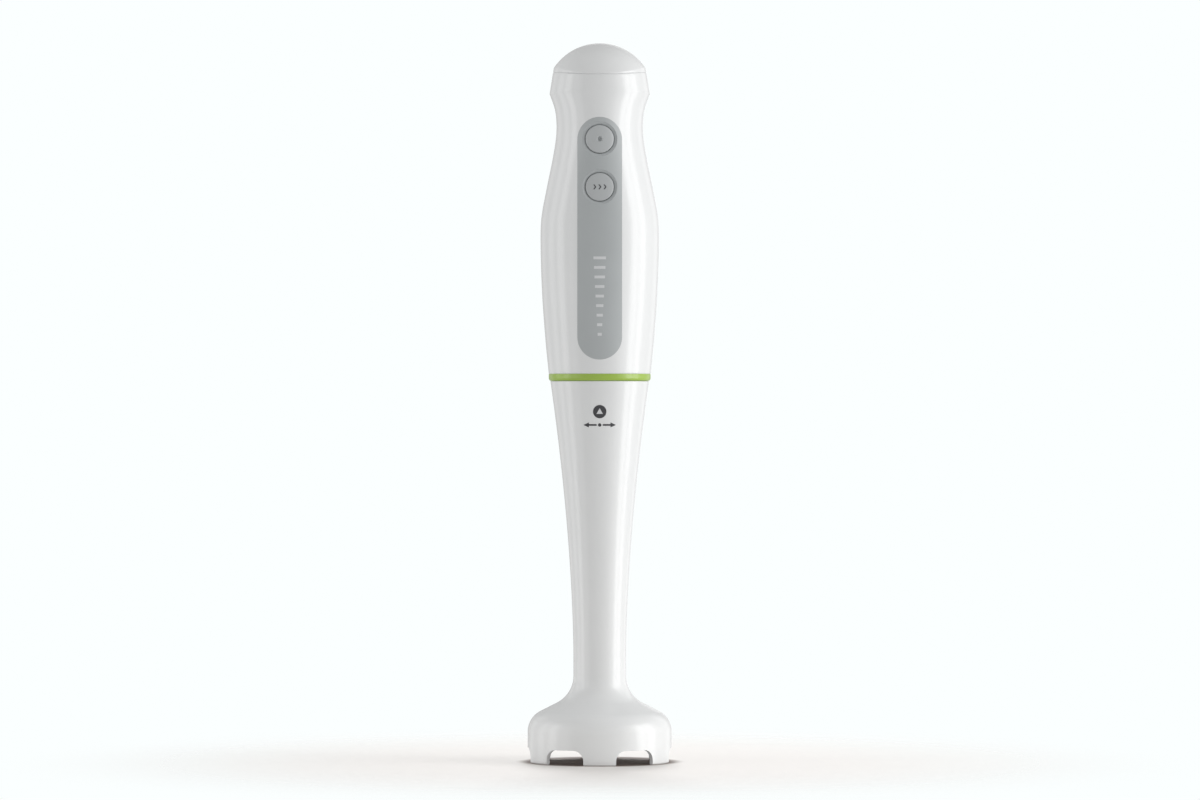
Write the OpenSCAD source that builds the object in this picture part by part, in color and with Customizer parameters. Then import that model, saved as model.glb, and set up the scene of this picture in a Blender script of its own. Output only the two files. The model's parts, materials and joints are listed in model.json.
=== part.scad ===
// Immersion blender: a motor handle with two push buttons, and a blending wand
// with a three-wing blade that locks onto the handle with a quarter-turn bayonet.
// Millimetres. +Z is up, the origin is the middle of the feet, the buttons face -Y.

/* [Handle] */
// Height of the whole blender, from the feet to the top of the cap
overall_h = 380; // [379:0.5:381]
// Half width of the handle's belly
belly_r = 31.3; // [31:0.1:31.8]
// Half width of the finger grip under the head
grip_r = 22.85; // [22.7:0.05:23.2]
// Half width of the head at its shoulder
shoulder_r = 26.5; // [26.2:0.1:26.8]
// Height of the shoulder line above the feet
shoulder_z = 353.2; // [352.8:0.1:353.6]
// Half width of the head where it meets the cap
head_top_r = 24.3; // [24.1:0.1:24.6]
// Radius of the cap's dome
dome_r = 29.1; // [28.9:0.1:29.5]
// Wall thickness of the handle's shells
shell_t = 2.4; // [2.2:0.1:2.5]

/* [Controls] */
// Half width of the control panel
panel_r = 11.7; // [11.4:0.1:12]
// Height of the panel's lower end
panel_z0 = 212.5; // [212.5:0.1:214]
// Height of the panel's upper end
panel_z1 = 339.8; // [339:0.1:341]
// Height of the speed button's centre
speed_z = 328.2; // [327.8:0.1:328.6]
// Height of the turbo button's centre
turbo_z = 303; // [302.6:0.1:303.4]
// Radius of a button's cap
button_r = 7.3; // [7:0.1:7.4]
// How far a button travels
button_travel = 1.2; // [0.8:0.1:1.2]

/* [Coupling] */
// Height of the wand's rim, where it meets the handle
rim_z = 201.4; // [201.2:0.1:201.6]
// Radius of the coloured ring and of the handle's lower end
ring_r = 26.95; // [26.8:0.05:27.1]
// Height of the coloured ring
ring_h = 3.4; // [3:0.1:3.6]
// Radius of the bayonet spigot
spigot_r = 19.5; // [19.4:0.05:19.6]
// Angle that the wand turns through to come off, in degrees
twist = 90; // [85:1:90]
// How far the wand comes down while it turns
drop = 13; // [12.5:0.1:13.5]

/* [Wand] */
// Radius of the wand at its rim
wand_top_r = 26.1; // [25.9:0.1:26.3]
// Radius of the wand at its waist
waist_r = 13.9; // [13.7:0.1:14.2]
// Outer radius of the blade guard
guard_r = 38.1; // [37.8:0.1:38.6]
// Wall thickness of the blade guard
guard_t = 3; // [2.8:0.1:3.2]
// Number of notches in the guard's edge
notches = 6; // [6]
// Height of a notch
notch_h = 7.8; // [7.4:0.1:8]
// Half width of a notch
notch_w = 11.1; // [10.5:0.1:11.3]
// Radius of the drive shaft
shaft_r = 3; // [3]
// Radius that the blade sweeps
blade_r = 29; // [27:0.5:30]

/* [Hidden] */
$fn = 72;
EPS = 0.01;

// The handle's outline: half widths [z, x] up to the shoulder, and half depths [z, y].
ring_z = rim_z + 0.3;
body_z = ring_z + ring_h;
WIDTH = [
    [body_z, ring_r], [223, belly_r - 2.6], [248, belly_r - 0.8], [275, belly_r],
    [288, belly_r - 0.5], [303, belly_r - 3.2], [318, grip_r + 2.2], [329, grip_r + 0.4],
    [337, grip_r], [345, grip_r + 0.9], [shoulder_z, shoulder_r]
];
DEPTH = [[body_z, ring_r], [225, 28.8], [255, 30], [285, 29.8], [315, 28.4], [340, 27.1], [370, 26.4]];
dome_z = overall_h - dome_r;
crease_z = dome_z + sqrt(dome_r ^ 2 - head_top_r ^ 2);
seam_drop = 0.5; // how far the cap's seam lies under the crease at the front and back

// How finely the lofted shells are drawn: rings below and above the shoulder, steps round half the body.
rings_low = 26;
rings_high = 3;
steps = 24;

// The motor's stack, upwards from the coupling.
coupler_z = 188.5;
fan_z = 209.7;
stator_z = 233;
stator_h = 30;
stator_r = 24;
mount_r = stator_r + 1.1;
bore_r = 14;
brush_z = 276.5;
shaft_top = 294;
bush_r = 6;
run = 0.05; // radial running clearance of a shaft in its bush

// The bayonet: lugs on the wand's collar run in ramped tracks in the spigot.
lugs = 3;
lug_z = 197;
lug_h = 3;
lug_half = 7;
track_floor = spigot_r - 1.8;
spigot_bottom = 187;
spigot_bore = 15.5;
collar_bore = spigot_r + 0.45;
seal_z = 200.4;

// The wand's inside, and the stack on the drive shaft.
taper_z = 55;
taper_power = 1.71;
wand_t = 2.4;
socket_r = 21.3;
collar_z = 180;
star_top = 197;
guard_in = guard_r - guard_t;
flare_z = 45.5;
flare_r = 16;
flare_turn = 63;
shoulder_arc = 12;
hub_z = 19.6;
blade_z = 11.2;
blade_t = 1.2;

// The switches behind the panel.
board_y = -1.6;
BUTTONS = [speed_z, turbo_z];
SCREWS = [[20.5, 303], [15.5, 349]];
screw_r = 1.35;
screw_grip = 10;
well_r = 2.8;
head_h = 2;
post_r = 4.2;
inlet_z = 355;

// The route of the right-hand lead: from the terminal, down beside the board and the screw post,
// to a brush holder. Each row is one smooth stretch.
LEAD = [
    [[3.6, -4.5, 351], [3.6, -12, 351], [8, -12, 343], [12.5, -8, 340]],
    [[12.5, -8, 340], [15.5, -5.5, 338], [15.2, 0, 330], [15.1, 1.5, 320]],
    [[15.1, 1.5, 304], [15.1, 1.5, 294], [24.4, 5, 298], [24.6, 6, 288]],
    [[24.6, 6, 288], [24.75, 6.6, 283], [24.4, 8.5, 277], [24.3, 4.8, 276.5]]
];

// ---- Curves and lofts ----

// Smooth curve through the points [z, r], by cubic segments.
function span(p, z, i = 0) = i >= len(p) - 2 || z <= p[i + 1][0] ? i : span(p, z, i + 1);
function slope(p, i) =
    let (a = max(i - 1, 0), b = min(i + 1, len(p) - 1)) (p[b][1] - p[a][1]) / (p[b][0] - p[a][0]);
function curve(p, z) =
    let (
        i = span(p, z),
        h = p[i + 1][0] - p[i][0],
        t = (z - p[i][0]) / h,
        m0 = slope(p, i) * h,
        m1 = slope(p, i + 1) * h
    )
    (2 * t ^ 3 - 3 * t ^ 2 + 1) * p[i][1] + (t ^ 3 - 2 * t ^ 2 + t) * m0
        + (3 * t ^ 2 - 2 * t ^ 3) * p[i + 1][1] + (t ^ 3 - t ^ 2) * m1;

function half_width(z) =
    z <= shoulder_z
        ? curve(WIDTH, z)
        : shoulder_r + (head_top_r - shoulder_r) * (z - shoulder_z) / (crease_z - shoulder_z);
function half_depth(z) = curve(DEPTH, z);

// A point on the handle's skin at an angle round it, set in from the surface.
function skin(z, angle, inset = 0) =
    [(half_width(z) - inset) * cos(angle), (half_depth(z) - inset) * sin(angle), z];

// Where the skin meets the cap's dome. The head is deeper than wide, so this line dips at the front and back.
function reach(z, angle, inset = 0) = let (p = skin(z, angle, inset)) norm([p[0], p[1]]);
function crease(angle) =
    let (z = dome_z + sqrt(dome_r ^ 2 - reach(crease_z, angle) ^ 2))
    dome_z + sqrt(dome_r ^ 2 - reach(z, angle) ^ 2);

// Where the shells end and the cap begins: a flatter line, below the crease all the way round.
function seam(angle) = (crease(angle) + crease(90)) / 2 - seam_drop;

// Heights of the loft's rings at one angle.
function heights(angle) = concat(
    [for (i = [0:rings_low]) body_z + (shoulder_z - body_z) * i / rings_low],
    [for (i = [1:rings_high]) shoulder_z + (seam(angle) - shoulder_z) * i / rings_high]
);

// Faces between grid columns: quads as two triangles each.
function quads(rows, cols, offset, flip) = [
    for (i = [0:rows - 2], j = [0:cols - 2])
        let (a = offset + i * cols + j, b = a + 1, c = a + cols, d = c + 1)
            each flip ? [[a, d, b], [a, c, d]] : [[a, b, d], [a, d, c]]
];

// A solid between an outer and an inner grid of points, each a list of columns.
module slab(outer, inner) {
    cols = len(outer[0]);
    rows = len(outer);
    n = rows * cols;
    ends = [
        for (j = [0:cols - 2], i = [0, rows - 1])
            let (a = i * cols + j, b = a + 1)
                each i == 0 ? [[a, b + n, b], [a, a + n, b + n]] : [[a, b, b + n], [a, b + n, a + n]]
    ];
    sides = [
        for (i = [0:rows - 2], j = [0, cols - 1])
            let (a = i * cols + j, b = a + cols)
                each j == 0 ? [[a, b, b + n], [a, b + n, a + n]] : [[a, b + n, b], [a, a + n, b + n]]
    ];
    polyhedron(
        points = concat([for (row = outer) each row], [for (row = inner) each row]),
        faces = concat(quads(rows, cols, 0, false), quads(rows, cols, n, true), ends, sides),
        convexity = 8
    );
}

// A solid through closed rings of points, capped at both ends. The rings turn anticlockwise
// about the way they go.
module tube_through(rings) {
    n = len(rings[0]);
    last = (len(rings) - 1) * n;
    walls = [
        for (i = [0:len(rings) - 2], j = [0:n - 1])
            let (a = i * n + j, b = i * n + (j + 1) % n, c = a + n, d = b + n)
                each [[a, d, b], [a, c, d]]
    ];
    polyhedron(
        points = [for (ring = rings) each ring],
        faces = concat(
            walls,
            [[for (j = [0:n - 1]) j]],
            [[for (j = [n - 1:-1:0]) last + j]]
        ),
        convexity = 8
    );
}

// Rings of a round wire of radius r along a list of points.
function unit(v) = v / norm(v);
function wire_ring(p, dir, r, sides, up) =
    let (u = unit(cross(up, dir)), v = cross(dir, u))
    [for (k = [0:sides - 1]) p + r * (cos(360 * k / sides) * u + sin(360 * k / sides) * v)];
function wire_rings(path, r, sides, up) = [
    for (i = [0:len(path) - 1])
        let (a = path[max(i - 1, 0)], b = path[min(i + 1, len(path) - 1)])
            wire_ring(path[i], unit(b - a), r, sides, up)
];

// Points on a curve pulled by four control points.
function bezier(p, n) = [
    for (i = [0:n])
        let (t = i / n, s = 1 - t)
            s ^ 3 * p[0] + 3 * s ^ 2 * t * p[1] + 3 * s * t ^ 2 * p[2] + t ^ 3 * p[3]
];

// A coil spring along +Z, standing on z = 0.
module coil(r, wire, length, turns, sides = 6, per_turn = 12) {
    path = [
        for (i = [0:turns * per_turn])
            let (a = 360 * i / per_turn)
                [r * cos(a), r * sin(a), wire + (length - 2 * wire) * i / (turns * per_turn)]
    ];
    tube_through(wire_rings(path, wire, sides, [0, 0, 1]));
}

// ---- Small shapes ----

module ring(r_out, r_in, z0, z1) {
    translate([0, 0, z0])
        difference() {
            cylinder(r = r_out, h = z1 - z0);
            translate([0, 0, -1]) cylinder(r = r_in, h = z1 - z0 + 2);
        }
}

module disc(r, z0, z1) {
    translate([0, 0, z0]) cylinder(r = r, h = z1 - z0);
}

// Part of a ring, between two radii, heights and angles.
module sector(r_in, r_out, z0, z1, from, to) {
    rotate([0, 0, from])
        rotate_extrude(angle = to - from)
            translate([r_in, z0]) square([r_out - r_in, z1 - z0]);
}

// A cylinder along +Y from y0 to y1.
module along_y(r, y0, y1, x = 0, z = 0) {
    translate([x, y0, z]) rotate([-90, 0, 0]) cylinder(r = r, h = y1 - y0);
}

module box(x0, x1, y0, y1, z0, z1) {
    translate([x0, y0, z0]) cube([x1 - x0, y1 - y0, z1 - z0]);
}

module each_side() {
    children();
    mirror([1, 0, 0]) children();
}

// A rounded slot, standing along Z and cut through Y.
module slot_y(half, z0, z1, y0, y1) {
    translate([0, y1, 0])
        rotate([90, 0, 0])
            linear_extrude(y1 - y0) {
                translate([-half, z0 + half]) square([2 * half, z1 - z0 - 2 * half]);
                translate([0, z0 + half]) circle(r = half);
                translate([0, z1 - half]) circle(r = half);
            }
}

// ---- Handle shells ----

module half_shell(from) {
    angles = [for (i = [0:steps]) from + 180 * i / steps];
    slab(
        [for (a = angles) [for (z = heights(a)) skin(z, a)]],
        [for (a = angles) [for (z = heights(a)) skin(z, a, shell_t)]]
    );
}

// The solid half of the handle round the screw posts, just under the skin.
module filled_half(from) {
    tube_through([
        for (z = [SCREWS[0][1] - 7:4:SCREWS[1][1] + 9])
            [for (i = [0:steps]) skin(z, from + 180 * i / steps, 1)]
    ]);
}

// The band that hooks over the spigot's flange.
module flange_hook(from) {
    sector(23, ring_r - shell_t + 0.6, body_z + 4.3, body_z + 5.8, from + 0.5, from + 179.5);
}

// Ribs inside a housing that grip the motor's rubber rings.
module motor_ribs(from, to) {
    sector(mount_r, 27.5, 226.5, 229.5, from, to);
    sector(mount_r, 29.2, 264.5, 267.5, from, to);
}

module front_housing() color("white") {
    difference() {
        union() {
            half_shell(180);
            flange_hook(180);
            motor_ribs(195, 236);
            motor_ribs(304, 345);
            intersection() {
                each_side() for (s = SCREWS) along_y(post_r, -14, 0, s[0], s[1]);
                filled_half(180);
            }
        }
        slot_y(panel_r, panel_z0, panel_z1, -40, -10);
        each_side() for (s = SCREWS) along_y(screw_r, -screw_grip, 1, s[0], s[1]);
    }
}

module rear_housing() color("white") {
    difference() {
        union() {
            half_shell(0);
            flange_hook(0);
            motor_ribs(15, 165);
            intersection() {
                each_side() for (s = SCREWS) along_y(post_r, 0, 30, s[0], s[1]);
                filled_half(0);
            }
        }
        each_side() for (s = SCREWS) {
            along_y(screw_r + 0.25, -1, 40, s[0], s[1]);
            along_y(well_r, screw_seat(s), 40, s[0], s[1]);
        }
        along_y(6.2, 15, 40, 0, inlet_z);
        for (z = [316:4.4:334]) vent_slot(z);
        for (z = [216:4.4:230]) vent_slot(z);
    }
}

// Where a screw's head sits: below the skin even at the outer edge of its well.
function screw_seat(s) = half_depth(s[1]) * sqrt(1 - ((s[0] + well_r) / half_width(s[1])) ^ 2) - head_h - 0.4;

module vent_slot(z) {
    translate([0, 0, z])
        rotate([-90, 0, 0])
            linear_extrude(40) {
                square([14, 1.8], center = true);
                translate([-7, 0]) circle(r = 0.9);
                translate([7, 0]) circle(r = 0.9);
            }
}

module housing_screws() color("silver") {
    each_side() for (s = SCREWS) {
        seat = screw_seat(s);
        along_y(screw_r, -screw_grip, seat + 0.5, s[0], s[1]);
        difference() {
            along_y(well_r - 0.2, seat, seat + head_h, s[0], s[1]);
            for (turn = [0, 90])
                translate([s[0], seat + head_h, s[1]])
                    rotate([0, turn, 0]) cube([3, 1.6, 0.6], center = true);
        }
    }
}

// One ring of the cap, as a share of the way in from the crease, on a sphere of radius r.
function cap_ring(share, r, inset) = [
    for (i = [0:2 * steps - 1])
        let (a = 180 * i / steps, p = skin(crease(a), a, inset) * (1 - share))
            [p[0], p[1], dome_z + sqrt(r ^ 2 - p[0] ^ 2 - p[1] ^ 2)]
];
// A level ring of the cap's lip, set in from the skin and down from the seam.
function lip_ring(inset, down) = [
    for (i = [0:2 * steps - 1])
        let (a = 180 * i / steps, p = skin(seam(a), a, inset)) [p[0], p[1], seam(a) - down]
];

module top_cap() color("white") {
    shares = [0.97, 0.9, 0.8, 0.68, 0.55, 0.42, 0.28, 0.14, 0.004];
    inner_r = dome_r - shell_t;
    difference() {
        tube_through(concat(
            [for (s = shares) cap_ring(s, inner_r, shell_t + 1.5)],
            [lip_ring(shell_t + 1.5, 4), lip_ring(shell_t + 0.1, 4)],
            [lip_ring(shell_t + 0.1, -0.05), lip_ring(0, -0.05)],
            [for (i = [len(shares) - 1:-1:0]) cap_ring(shares[i], dome_r, 0)]
        ));
        along_y(6.2, 15, 40, 0, inlet_z);
        along_y(7.5, 15, half_depth(inlet_z) - shell_t - 0.2, 0, inlet_z);
    }
}

// ---- Controls ----

// The stretch of skin that the panel covers, between two insets.
module panel_skin(inset0, inset1) {
    angles = [for (i = [0:10]) 270 + 39 * (i - 5) / 5];
    zs = [for (i = [0:24]) 209.5 + 134 * i / 24];
    slab(
        [for (a = angles) [for (z = zs) skin(z, a, inset0)]],
        [for (a = angles) [for (z = zs) skin(z, a, inset1)]]
    );
}

// Radius of the skin's bend across the front, at height z.
function bend(z) = half_width(z) ^ 2 / half_depth(z);

// A space behind the skin at a button: everything deeper than the given inset.
module behind(z, inset) {
    r = bend(z);
    translate([0, -half_depth(z) + inset + r, z - 15]) cylinder(r = r, h = 30);
}

module control_panel() color("darkgray") {
    difference() {
        union() {
            intersection() {
                panel_skin(0, shell_t + 0.1);
                slot_y(panel_r - 0.1, panel_z0 + 0.1, panel_z1 - 0.1, -40, -10);
            }
            intersection() {
                panel_skin(shell_t + 0.05, shell_t + 1);
                slot_y(panel_r + 1.2, panel_z0 - 1.2, panel_z1 + 1.2, -40, -10);
            }
        }
        for (z = BUTTONS) {
            along_y(button_r + 0.35, -40, -10, 0, z);
            along_y(button_r + 2, flange_y(z) - 0.3, -10, 0, z);
            difference() {
                along_y(button_r + 1.1, -40, -10, 0, z);
                behind(z, 0.6);
            }
        }
    }
}

function flange_y(z) = -half_depth(z) + shell_t + 1.6;
function stem_y(z) = flange_y(z) + 8.8;

module button(z) {
    intersection() {
        along_y(button_r, -40, flange_y(z) + EPS, 0, z);
        behind(z, 0.6);
    }
    along_y(button_r + 1.6, flange_y(z), flange_y(z) + 1.2, 0, z);
    along_y(2, flange_y(z) + 1, stem_y(z), 0, z);
}

module speed_button() color("silver") {
    difference() {
        button(speed_z);
        translate([0, -half_depth(speed_z) - 0.7, speed_z]) sphere(r = 2);
    }
}

module turbo_button() color("silver") {
    button(turbo_z);
}

module button_spring(z) {
    translate([0, flange_y(z) + 1.3, z]) rotate([-90, 0, 0]) coil(3.1, 0.3, 4.4, 5);
}

module speed_spring() color("silver") button_spring(speed_z);
module turbo_spring() color("silver") button_spring(turbo_z);

// Plate that the springs push against and the buttons' stems run in.
module switch_bracket() color("dimgray") {
    y0 = flange_y(speed_z) + 5.8;
    difference() {
        union() {
            box(-9, 9, y0, y0 + 1.6, 294, 338);
            each_side() box(7.2, 9, y0, board_y - EPS, 296, 336);
            along_y(4.2, flange_y(turbo_z) + 5.8, y0 + 1, 0, turbo_z);
        }
        for (z = BUTTONS) along_y(2.25, -30, 0, 0, z);
    }
}

module circuit_board() color("darkgreen") {
    difference() {
        box(-14, 14, board_y, 0, 294, 342);
        each_side() for (z = [297, 339]) along_y(1.2, -3, 1, 11.5, z);
        capacitor_pins();
        rectifier_pins();
    }
}

// A switch's plunger reaches to just behind the button's stem, and stands proud by more than the travel.
function switch_y(z) = stem_y(z) + button_travel + 0.8;

module micro_switch(z) {
    difference() {
        box(-4.9, 4.9, switch_y(z), board_y, z - 3.2, z + 3.2);
        along_y(1.15, switch_y(z) - 1, switch_y(z) + 3.4, 0, z);
    }
}

module plunger(z) {
    along_y(1, stem_y(z) + 0.1, switch_y(z) + 1.6, 0, z);
}

module speed_switch() color("black") micro_switch(speed_z);
module turbo_switch() color("black") micro_switch(turbo_z);
module speed_plunger() color("red") plunger(speed_z);
module turbo_plunger() color("red") plunger(turbo_z);

module suppression_capacitor() color("gold") {
    box(-9, 9, 0, 8.5, 322, 334);
    capacitor_pins();
}

module capacitor_pins() {
    each_side() box(5.6, 6.2, -2.4, 0, 327, 327.6);
}

module bridge_rectifier() color("black") {
    box(-7.5, 7.5, 0, 3.4, 295, 305);
    rectifier_pins();
}

module rectifier_pins() {
    for (x = [-5.4:3.6:5.4]) box(x - 0.35, x + 0.35, -2.4, 0, 297.2, 297.8);
}

module inductor() color("peru") {
    translate([0, 6.2, 314.5]) {
        ring(6, 2.6, -3, 3);
        disc(2.5, -4.4, 4.4);
    }
}

// ---- Mains entry ----

// Bushing in the rear wall that a mains cord would pass through.
module cord_gland() color("gray") {
    y1 = half_depth(inlet_z);
    difference() {
        union() {
            along_y(6.1, y1 - 6.5, y1 + 0.4, 0, inlet_z);
            along_y(7.6, y1 + 0.2, y1 + 2, 0, inlet_z);
            along_y(7.2, y1 - 6.5, y1 - 4, 0, inlet_z);
        }
        along_y(3.4, 10, 40, 0, inlet_z);
    }
}

module cord_clamp() color("lightgray") {
    difference() {
        box(-10.5, 10.5, 10, 16, 346, 360);
        along_y(3.5, 9, 17, 0, inlet_z);
        each_side() translate([7.6, 13, 340]) cylinder(r = 1.2, h = 30);
    }
}

module clamp_screws() color("silver") {
    each_side() translate([7.6, 13, 0]) {
        disc(1.2, 347, 360.1);
        disc(2.3, 360.1, 361.6);
    }
}

module mains_terminal() color("ivory") {
    difference() {
        box(-7.5, 7.5, -6, 4, 346.5, 356.5);
        each_side() translate([3.6, 4.1, 351.5]) rotate([90, 0, 0]) cylinder(r = 1.7, h = 7);
        each_side() translate([3.6, -1, 350]) cylinder(r = 1.5, h = 7);
        each_side() along_y(1.2, -7, -4, 3.6, 351);
    }
}

// An insulated lead from the terminal to one brush holder.
module lead() {
    path = [for (stretch = LEAD, p = bezier(stretch, 6)) p];
    smooth = [for (i = [0:len(path) - 1]) if (i == 0 || norm(path[i] - path[i - 1]) > EPS) path[i]];
    tube_through(wire_rings(smooth, 0.9, 8, [1, 0, 0]));
}

module live_lead() color("saddlebrown") lead();
module neutral_lead() color("royalblue") mirror([1, 0, 0]) lead();

// ---- Motor ----

// The four long screws that hold the motor together, and the holes for them.
module motor_screw_rods(z0, z1) {
    for (a = [45:90:315]) rotate([0, 0, a]) translate([stator_r - 2, 0, 0]) disc(1.4, z0, z1);
}

// A flat ring sector, centred on the +X axis.
module wedge(r_in, r_out, half) {
    intersection() {
        difference() {
            circle(r = r_out);
            circle(r = r_in);
        }
        polygon(stator_r * 2 * [[0, 0], [1, -tan(half)], [1, tan(half)]]);
    }
}

// Two poles inside a round yoke, each with a wide shoe round the armature.
module stator_core() color("slategray") {
    translate([0, 0, stator_z])
        linear_extrude(stator_h)
            difference() {
                union() {
                    difference() {
                        circle(r = stator_r);
                        circle(r = stator_r - 4);
                    }
                    for (side = [0, 180]) rotate(side) {
                        wedge(bore_r + 0.6, stator_r - 3.5, 24);
                        wedge(bore_r, bore_r + 1.5, 52);
                    }
                }
                for (a = [45:90:315]) rotate(a) translate([stator_r - 2, 0]) circle(r = 1.4);
            }
}

// Two coils, each wound round one pole, with rounded end turns above and below the core.
module field_coils() color("orangered") {
    r0 = bore_r + 1.6;
    r1 = stator_r - 4.1;
    for (side = [0, 180])
        difference() {
            sector(r0, r1, stator_z - 5.5, stator_z + stator_h + 5.5, side - 50, side + 50);
            sector(r0 - 1, r1 + 1, stator_z - 0.1, stator_z + stator_h + 0.1, side - 25, side + 25);
        }
}

module upper_motor_bracket() color("dimgray") {
    z0 = stator_z + stator_h;
    difference() {
        union() {
            ring(stator_r + 0.2, stator_r - 3.6, z0, z0 + 8);
            each_side() box(19.5, 23.2, -8, 8, z0 + 6, 286);
            box(-23.2, 23.2, -8, 8, 284, 287);
            disc(8.4, 284, 293);
        }
        disc(bush_r, 285.5, 294);
        disc(shaft_r + 1, 280, 300);
        each_side() box(9, 30, -3.8, 3.8, brush_z - 4.6, brush_z + 4.6);
        motor_screw_rods(z0 - 1, z0 + 10);
    }
}

module lower_motor_bracket() color("dimgray") {
    difference() {
        union() {
            ring(stator_r + 0.2, stator_r - 3.6, 221, stator_z);
            disc(stator_r + 0.2, 221, 223.6);
            disc(8.4, 218.8, 227);
        }
        disc(bush_r, 217, 225.5);
        disc(shaft_r + 1, 217, 230);
        for (a = [0:60:300]) rotate([0, 0, a]) translate([14.3, 0, 220]) cylinder(r = 4.2, h = 5);
        motor_screw_rods(220, stator_z + 1);
    }
}

module bush(r_out, r_in, z0, z1) {
    ring(r_out, r_in, z0, z1);
}

module upper_motor_bush() color("goldenrod") bush(bush_r, shaft_r + run, 285.5, 292.5);
module lower_motor_bush() color("goldenrod") bush(bush_r, shaft_r + run, 219.2, 225.5);

module brush_holders() color("gold") {
    each_side() difference() {
        box(11, 27, -3.8, 3.8, brush_z - 4.6, brush_z + 4.6);
        box(10, 26.2, -3, 3, brush_z - 3.8, brush_z + 3.8);
    }
}

module carbon_brushes() color("black") {
    each_side() box(9.15, 18.5, -2.9, 2.9, brush_z - 3.7, brush_z + 3.7);
}

module brush_springs() color("silver") {
    each_side() translate([18.5, 0, brush_z]) rotate([0, 90, 0]) coil(2.2, 0.3, 7.7, 6);
}

// Rubber ring round the motor, with a row of grooves that make it softer.
module motor_mount(z0, z1) {
    difference() {
        ring(mount_r, stator_r + 0.2, z0, z1);
        for (a = [0:30:330]) rotate([0, 0, a])
            translate([mount_r + 0.6, 0, z0 - 1]) cylinder(r = 1, h = z1 - z0 + 2);
    }
}

module upper_motor_mount() color("black") motor_mount(263.5, 268.5);
module lower_motor_mount() color("black") motor_mount(225, 231);

module motor_screws() color("silver") {
    top = stator_z + stator_h + 8;
    motor_screw_rods(221, top);
    for (a = [45:90:315]) rotate([0, 0, a]) translate([stator_r - 2, 0, 0]) disc(2.1, top, top + 1.6);
}

module motor_shaft() color("silver") disc(shaft_r, 199.5, shaft_top);

module armature_core() color("slategray") {
    difference() {
        ring(bore_r - 0.7, shaft_r, stator_z + 1, stator_z + stator_h - 1);
        for (i = [0:11]) rotate([0, 0, 30 * i]) {
            box(9.5, 11.5, -1.4, 1.4, stator_z, stator_z + stator_h);
            box(11.4, 14, -0.7, 0.7, stator_z, stator_z + stator_h);
        }
    }
}

module armature_winding() color("chocolate") {
    ring(11.6, shaft_r, stator_z - 3.5, stator_z + 1);
    ring(11.6, shaft_r, stator_z + stator_h - 1, stator_z + stator_h + 4);
    for (i = [0:11]) rotate([0, 0, 30 * i]) box(9.6, 11.4, -1.3, 1.3, stator_z + 1, stator_z + stator_h - 1);
}

module commutator() color("peru") {
    difference() {
        union() {
            ring(9, shaft_r, 270, 282);
            ring(10, shaft_r, 269, 270.6);
        }
        for (i = [0:23]) rotate([0, 0, 15 * i]) box(8.2, 11, -0.25, 0.25, 268, 283);
    }
}

module cooling_fan() color("whitesmoke") {
    difference() {
        union() {
            disc(20, fan_z, fan_z + 1.4);
            disc(6.5, fan_z, fan_z + 7.6);
            for (i = [0:10]) rotate([0, 0, 360 * i / 11]) translate([5, 0, 0])
                rotate([0, 0, 12]) box(0.5, 14.4, -0.6, 0.6, fan_z + 1, fan_z + 7.4);
        }
        disc(shaft_r, fan_z - 1, fan_z + 9);
    }
}

// Six-point star: three bars across one another.
module star(length, width, z0, z1) {
    for (a = [0, 60, 120]) rotate([0, 0, a]) box(-length / 2, length / 2, -width / 2, width / 2, z0, z1);
}

module motor_coupler() color("whitesmoke") {
    difference() {
        union() {
            disc(9, coupler_z, coupler_z + 15);
            disc(6.5, coupler_z + 14, coupler_z + 19);
        }
        star(13, 3.7, coupler_z - 1, coupler_z + 10);
        disc(shaft_r, coupler_z + 11, coupler_z + 20);
        translate([0, 0, coupler_z - EPS]) cylinder(r1 = 7.4, r2 = 6, h = 1.4);
    }
}

// ---- Coupling ----

// A block swept down a helix: angles from and to round the axis, at the ramp's own height for each angle.
module ramp(r_in, r_out, height, from, to) {
    n = ceil((to - from) / 4);
    tube_through([
        for (i = [0:n])
            let (
                t = from + (to - from) * i / n,
                z = lug_z - drop * t / twist,
                out = [cos(t), sin(t), 0]
            )
                [
                    r_in * out + [0, 0, z - height / 2],
                    r_in * out + [0, 0, z + height / 2],
                    r_out * out + [0, 0, z + height / 2],
                    r_out * out + [0, 0, z - height / 2]
                ]
    ]);
}

module bayonet_spigot() color("lightgray") {
    difference() {
        union() {
            disc(spigot_r, spigot_bottom, body_z);
            disc(24, ring_z, body_z);
            disc(24.3, body_z, body_z + 4);
        }
        disc(spigot_bore, spigot_bottom - 1, body_z - 0.5);
        disc(11, spigot_bottom, body_z + 5);
        ring(23, 12.5, body_z + 1.8, body_z + 5);
        for (i = [0:lugs - 1]) rotate([0, 0, 360 * i / lugs])
            ramp(track_floor, spigot_r + 2, lug_h + 0.7, -lug_half - 1, twist + lug_half + 8);
        ring(spigot_r + 1, spigot_r - 1, seal_z - 0.8, seal_z + 0.8);
    }
}

module trim_ring() color("yellowgreen") {
    rotate_extrude()
        polygon([
            [24, ring_z], [ring_r - 0.6, ring_z], [ring_r - 0.15, ring_z + 0.45],
            [ring_r, ring_z + 1], [ring_r, body_z], [24, body_z]
        ]);
}

// Sealing ring in the spigot's groove. It turns with the wand and stays on the handle.
module spigot_seal() color("dimgray") {
    rotate_extrude() translate([spigot_r - 0.3, seal_z]) circle(r = 0.65);
}

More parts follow.
